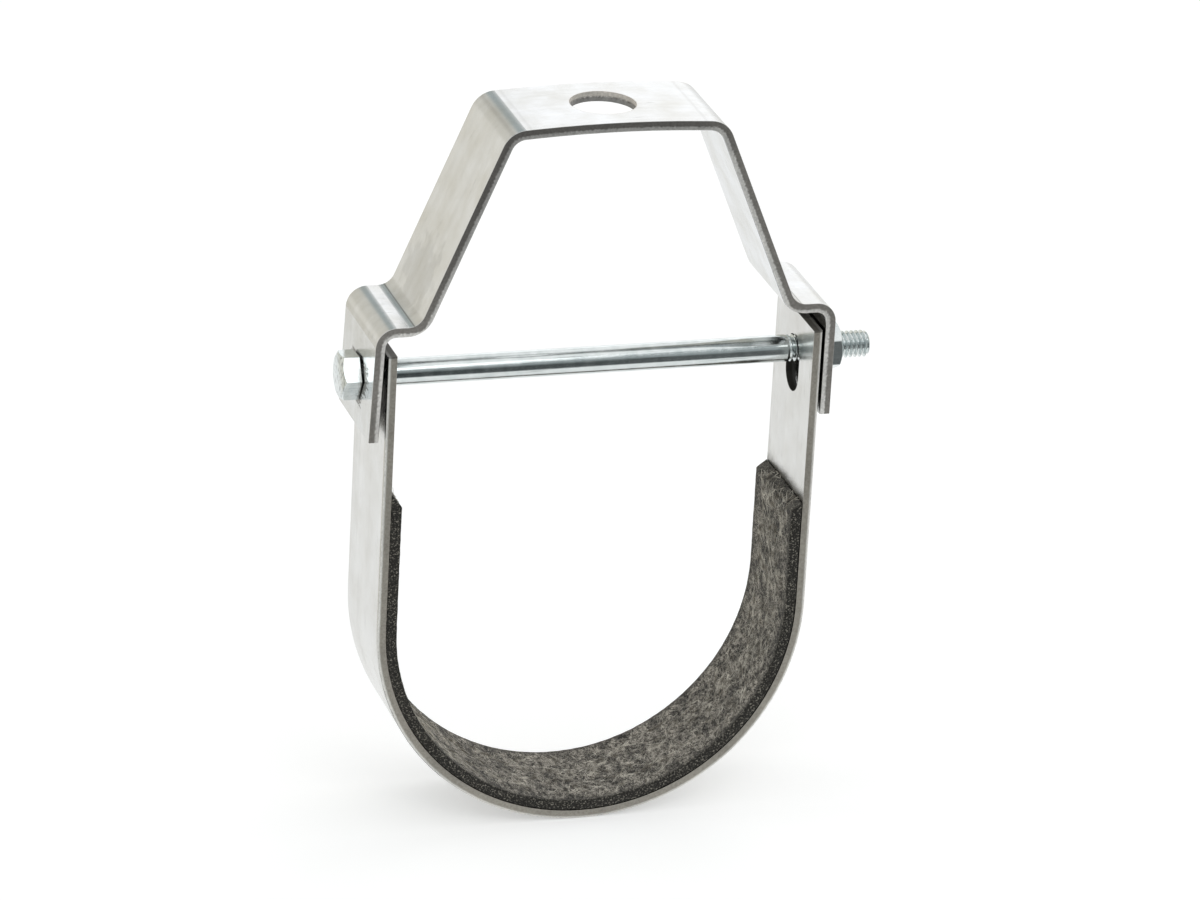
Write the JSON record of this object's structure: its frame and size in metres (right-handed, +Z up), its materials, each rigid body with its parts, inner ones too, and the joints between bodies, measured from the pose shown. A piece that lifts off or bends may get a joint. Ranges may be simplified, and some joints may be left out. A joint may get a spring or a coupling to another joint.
{
  "type": "clevis pipe hanger",
  "caption": "Felt-lined clevis hanger: folded steel yoke on a rod, U saddle swinging on a cross bolt and nut, for one horizontal pipe.",
  "frame": {"origin": "centre of the rod hole, halfway through the top plate", "axes": "+Z up along the hanger rod, X along the cross bolt with its head at -X and its nut at +X, Y along the pipe"},
  "size_m": [0.158, 0.034, 0.2154],
  "materials": {
    "galvanised_strap": "galvanised, satin",
    "zinc_plated_steel": "bright zinc plating",
    "felt": "pressed grey wool felt"
  },
  "bodies": {
    "yoke": {"upper_yoke": "galvanised_strap"},
    "pivot": {"clevis_bolt": "zinc_plated_steel", "hex_nut": "zinc_plated_steel"},
    "saddle": {"lower_saddle": "galvanised_strap", "felt_liner": "felt"}
  },
  "joints": [
    {"name": "saddle_swing", "type": "hinge", "parent": "yoke", "child": "pivot", "pos_m": [0, 0, -0.0766], "axis": [1, 0, 0], "range_deg": [-10, 10]},
    {"name": "saddle_lift", "type": "slide", "parent": "pivot", "child": "saddle", "axis": [0, 0, 1], "range_m": [0, 0.0015]}
  ]
}
